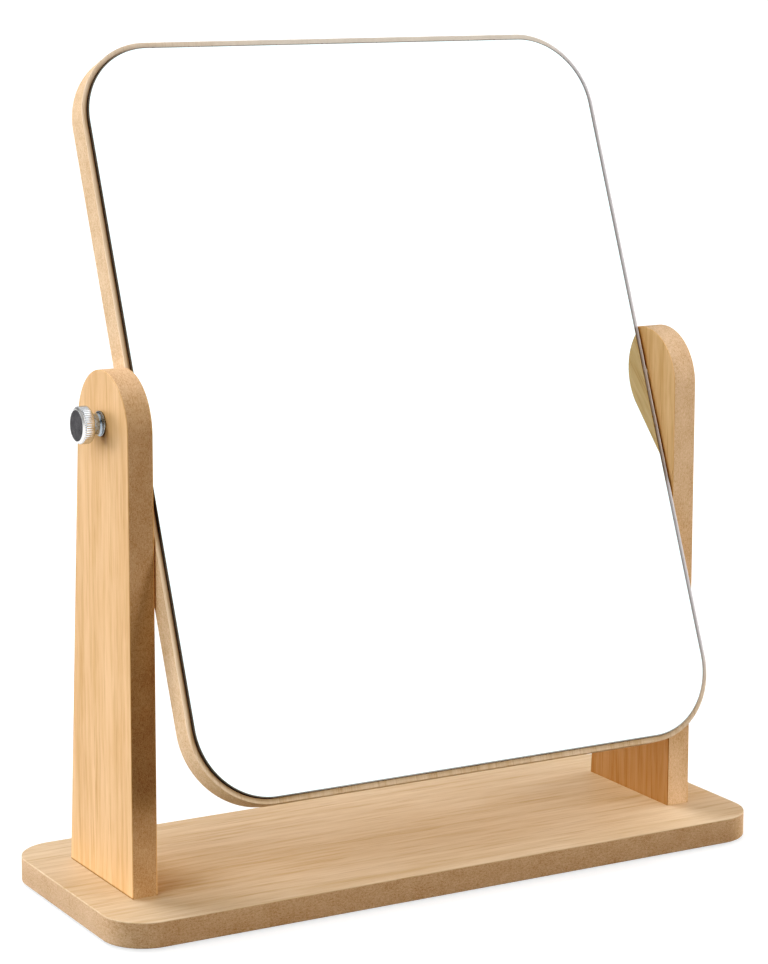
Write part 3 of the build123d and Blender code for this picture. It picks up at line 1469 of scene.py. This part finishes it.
    def build_thumbscrew(self, nickel: Finish, chamfer: Finish, face: Finish) -> None:
        """Make the thumbscrew: threaded shank, neck and knurled head with a bright ring and a dark face.

        Args:
            nickel: The finish of the plated metal.
            chamfer: The finish of the ring round the head's face.
            face: The finish of the head's flat face.
        """
        plated = nickel.build()
        pieces = [self.cap(chamfer, face), *self.shank(plated), self.knurl(plated)]
        node = f"{self.side.label}_thumbscrew"
        screw = join(f"dressed_{node}", pieces)
        seat(screw, f"{self.side.label}_screw", Slot.NICKEL, node)


WARM = (1.0, 0.93, 0.86)
COOL = (1.0, 1.03, 1.06)
# The curve of a picture that acts on red, green and blue alike.
ALL_CHANNELS = 3


@dataclass(frozen=True)
class Softbox:
    """A large soft light far away, at an azimuth from the front towards the right, in degrees.

    It may reach only some pieces, and then only they block it.
    """

    name: str
    azimuth: float
    elevation: float
    strength: float
    colour: Colour = WHITE
    spread: float = 30.0
    only: tuple[str, ...] = ()

    def build(self) -> None:
        """Make the light."""
        data = bpy.data.lights.new(self.name, "SUN")
        data.energy = self.strength
        data.color = self.colour
        data.angle = math.radians(self.spread)
        turn, rise = math.radians(self.azimuth), math.radians(self.elevation)
        level = math.cos(rise)
        source = Vector((math.sin(turn) * level, -math.cos(turn) * level, math.sin(rise)))
        light = bpy.data.objects.new(self.name, data)
        light.visible_glossy = False
        light.rotation_euler = source.to_track_quat("Z", "Y").to_euler()
        bpy.context.scene.collection.objects.link(light)
        if self.only:
            lit = bpy.data.collections.new(self.name)
            for piece in self.only:
                lit.objects.link(bpy.data.objects[piece])
            light.light_linking.receiver_collection = lit
            light.light_linking.blocker_collection = lit


@dataclass
class Studio:
    """A pale floor under soft light, and the camera at the photograph's angle."""

    camera_place: Triple = (-0.59342, -1.01976, 0.38584)
    yaw: float = math.radians(28.835)
    pitch: float = math.radians(-8.864)
    roll: float = math.radians(-0.066)
    focal_pixels: float = 2917.9
    shift_pixels: Point = (60.0, -100.0)
    frame_pixels: tuple[int, int] = (768, 964)
    sensor: float = 36.0
    floor_half: float = 120.0
    floor_light: Colour = (0.32, 0.32, 0.32)
    floor_dark: Colour = (0.28, 0.28, 0.28)
    floor_density: Triple = (6.0, 6.0, 6.0)
    floor_roughness: float = 0.8
    floor_glow: float = 0.75
    wall: float = 1.0
    shade: float = 0.12
    wall_fade: Span = (0.14, 0.36)
    ceiling: float = 0.9
    ceiling_fade: Span = (0.62, 0.76)
    card: float = 1.5
    card_fade: Span = (0.82, 0.91)
    softboxes: tuple[Softbox, ...] = (
        Softbox("right_front", 51.0, 6.0, 2.25, WARM),
        Softbox("right", 100.0, 6.0, 3.8),
        Softbox("left", 280.0, 27.0, 2.65, COOL, 60.0),
        Softbox("left_back", 220.0, 6.0, 2.71),
        Softbox("left_front", 340.0, 27.0, 0.65, WARM),
        Softbox("back_high", 200.0, 52.0, 1.55, COOL),
        Softbox("overhead", 80.0, 76.0, 0.8, COOL),
        Softbox("right_post_fill", 20.0, 10.0, 1.0, only=("dressed_right_post",)),
        Softbox("left_post_top", 200.0, 60.0, 1.8, only=("dressed_left_post",)),
        Softbox(
            "panel_bounce", 310.0, -40.0, 1.0, only=("dressed_mirror_board", "dressed_mirror_rim_veneer")
        ),
    )
    toe: tuple[Point, ...] = ((0.08, 0.02), (0.16, 0.088), (0.35, 0.294))

    def build_floor(self) -> None:
        """Make the floor, a pale sheet that glows a little and throws no light back on the object."""
        mesh = bmesh.new()
        half = self.floor_half
        corners = [(-half, -half), (half, -half), (half, half), (-half, half)]
        mesh.faces.new([mesh.verts.new((x, y, 0.0)) for x, y in corners])
        floor = new_piece("studio_floor", mesh, FLAT_PLACE)
        graph = ShaderGraph("studio_floor")
        mottle = graph.noise(graph.place, self.floor_density, detail=2.0)
        colour = graph.ramp(mottle, list(zip(MIDDLING, (self.floor_dark, self.floor_light))))
        graph.wire(Base_Color=colour, Roughness=self.floor_roughness)
        graph.wire(Emission_Color=(*WHITE, 1.0), Emission_Strength=self.floor_glow)
        paint(floor, graph.material)
        floor.visible_diffuse = False

    def build_world(self, seen: Vector) -> None:
        """Make the white walls and ceiling, the dark band between them and the card that the mirror shows.

        Args:
            seen: Where the mirror looks from the camera.
        """
        world = bpy.data.worlds.new("studio")
        bpy.context.scene.world = world
        world.use_nodes = True
        graph = NodeGraph(world.node_tree)
        direction = graph.add("ShaderNodeTexCoord").outputs["Generated"]
        height = graph.add("ShaderNodeSeparateXYZ", {0: direction}).outputs["Z"]
        wall = graph.ranged(height, self.wall_fade, self.wall, self.shade)
        ceiling = graph.ranged(height, self.ceiling_fade, 0.0, self.ceiling)
        sights = {0: direction, 1: seen}
        toward = graph.add("ShaderNodeVectorMath", sights, operation="DOT_PRODUCT").outputs["Value"]
        card = graph.math("MAXIMUM", ceiling, graph.ranged(toward, self.card_fade, 0.0, self.card))
        background = world.node_tree.nodes["Background"]
        background.inputs["Color"].default_value = (*WHITE, 1.0)
        world.node_tree.links.new(graph.math("MAXIMUM", wall, card), background.inputs["Strength"])
        world.cycles_visibility.diffuse = False

    def mirror_sight(self, target: Vector) -> Vector:
        """Where the mirror looks from the camera, as a direction from its middle."""
        sight = (target - Vector(self.camera_place)).normalized()
        return sight.reflect(Vector((0.0, -math.cos(PANEL_TILT), math.sin(PANEL_TILT))))

    def build_camera(self) -> None:
        """Make the camera at the photograph's viewing angle."""
        data = bpy.data.cameras.new("camera")
        data.sensor_width = self.sensor
        data.lens = self.focal_pixels * self.sensor / max(self.frame_pixels)
        data.shift_x = self.shift_pixels[0] / max(self.frame_pixels)
        data.shift_y = self.shift_pixels[1] / max(self.frame_pixels)
        forward = Vector((
            math.sin(self.yaw) * math.cos(self.pitch),
            math.cos(self.yaw) * math.cos(self.pitch),
            math.sin(self.pitch),
        ))
        level = Vector((math.cos(self.yaw), -math.sin(self.yaw), 0.0))
        upright = level.cross(forward)
        right = math.cos(self.roll) * level + math.sin(self.roll) * upright
        axes = Matrix((right, right.cross(forward), -forward)).transposed()
        camera = bpy.data.objects.new("camera", data)
        camera.matrix_world = Matrix.Translation(self.camera_place) @ axes.to_4x4()
        bpy.context.scene.collection.objects.link(camera)
        bpy.context.scene.camera = camera

    def build(self, target: Vector) -> None:
        """Set up the whole studio.

        Args:
            target: The middle of the mirror's glass.
        """
        self.build_floor()
        self.build_world(self.mirror_sight(target))
        for softbox in self.softboxes:
            softbox.build()
        self.build_camera()
        self.develop()

    def develop(self) -> None:
        """Print the picture plainly, with the deep blacks of a product photograph."""
        view = bpy.context.scene.view_settings
        view.view_transform = "Standard"
        view.use_curve_mapping = True
        curve = view.curve_mapping.curves[ALL_CHANNELS]
        for place, value in self.toe:
            curve.points.new(place, value)
        view.curve_mapping.update()


@dataclass
class Finishes:
    """Every finish on the object."""

    base_edge: Finish = FibreboardFinish("base_edge", Lay.FLAT, (0.565, 0.39, 0.25))
    # The left post's edge is a darker copy of the fibreboard: painted shade for the shadow on the post's
    # front.
    left_edge: Finish = FibreboardFinish("left_post_edge", Lay.UPRIGHT, (0.50, 0.335, 0.205))
    right_edge: Finish = FibreboardFinish("right_post_edge", Lay.UPRIGHT, (0.565, 0.40, 0.262))
    panel_edge: Finish = FibreboardFinish("panel_edge", Lay.LEANING_EDGE, (0.56, 0.405, 0.265))
    base_veneer: Finish = VeneerFinish("base_veneer", Lay.FLAT, (0.622, 0.47, 0.316))
    # Painted shadow: each post veneer darkens in a thin band at its foot, where it meets the base.
    post_veneer: Finish = DeepeningVeneerFinish(
        "post_veneer", Lay.UPRIGHT, (0.64, 0.415, 0.225), span=(0.0118, 0.0124), deep=(0.4, 0.33, 0.28)
    )
    # Painted shade: the right post's inner veneer darkens towards its lower end, where the panel shades it.
    deep_veneer: Finish = DeepeningVeneerFinish("deep_veneer", Lay.UPRIGHT, (0.67, 0.43, 0.23))
    panel_veneer: Finish = VeneerFinish("panel_veneer", Lay.LEANING, (0.62, 0.41, 0.24))
    # The rim's veneer carries a painted shadow of the glass, a painted highlight and a painted grey
    # reflection.
    rim_veneer: Finish = RimFinish("rim_veneer", Lay.LEANING, (0.66, 0.51, 0.36))
    felt: Finish = FeltFinish("brown_felt")
    silver: Finish = SilveredFinish("silvered_glass")
    # The glass edge carries painted shade on its left side.
    ground: Finish = GroundFinish("ground_glass_edge")
    tape: Finish = PlainFinish("foam_tape", (0.85, 0.85, 0.82), (0.75, 0.75, 0.72), 0.9, 1500.0)
    # The nylon is greyer and darker than natural nylon: painted shade for the washer in its shadowed slot.
    nylon: Finish = PlainFinish("nylon", (0.5, 0.48, 0.43), (0.4, 0.38, 0.34), 0.45)
    nickel: Finish = MetalFinish("polished_nickel", (0.78, 0.80, 0.82), (0.56, 0.58, 0.60), (0.08, 0.16))
    collar: Finish = MetalFinish("dull_nickel", (0.50, 0.56, 0.62), (0.32, 0.37, 0.42), (0.2, 0.34))
    chamfer: Finish = MetalFinish("bright_chamfer", (0.95, 0.95, 0.94), (0.85, 0.85, 0.84), (0.35, 0.5))
    face: Finish = MetalFinish("dark_face", (0.11, 0.105, 0.11), (0.06, 0.058, 0.062), (0.25, 0.4))
    steel: Finish = MetalFinish("zinc_plate", (0.62, 0.63, 0.62), (0.5, 0.5, 0.49), (0.25, 0.4))
    brass: Finish = MetalFinish("turned_brass", (0.75, 0.55, 0.24), (0.6, 0.42, 0.17), (0.2, 0.35))


def dress_nodes(finishes: Finishes) -> None:
    """Give the hidden nodes that stay as they are their finishes.

    Args:
        finishes: The object's finishes.
    """
    paint(frame["nodes"]["mounting_tape"], finishes.tape.build())
    brass = finishes.brass.build()
    for side in Side:
        paint(frame["nodes"][f"{side.label}_insert"], brass)
    log.info("mounting_tape and both inserts keep their shapes")


def main() -> None:
    """Build and dress the stand, the panel and both clamps, and set up the studio."""
    logging.basicConfig(level=logging.INFO, format="%(name)s: %(message)s")
    finishes = Finishes()
    pivot = Pivot()
    stand = Stand(pivot)
    stand.build_base(finishes.base_edge, finishes.base_veneer, finishes.felt)
    stand.build_post(Side.LEFT, finishes.left_edge, finishes.post_veneer, finishes.post_veneer)
    stand.build_post(Side.RIGHT, finishes.right_edge, finishes.post_veneer, finishes.deep_veneer)
    stand.build_screws(finishes.steel)
    panel = MirrorPanel(pivot)
    panel.build_board(finishes.panel_edge, finishes.rim_veneer, finishes.panel_veneer)
    panel.build_glass(finishes.silver, finishes.ground)
    for side in Side:
        clamp = Clamp(pivot, side)
        clamp.build_washer(finishes.nylon)
        clamp.build_collar(finishes.collar)
        clamp.build_thumbscrew(finishes.nickel, finishes.chamfer, finishes.face)
    dress_nodes(finishes)
    Studio().build(Vector((0.0, pivot.y, pivot.z)))


if __name__ == "__main__":
    main()
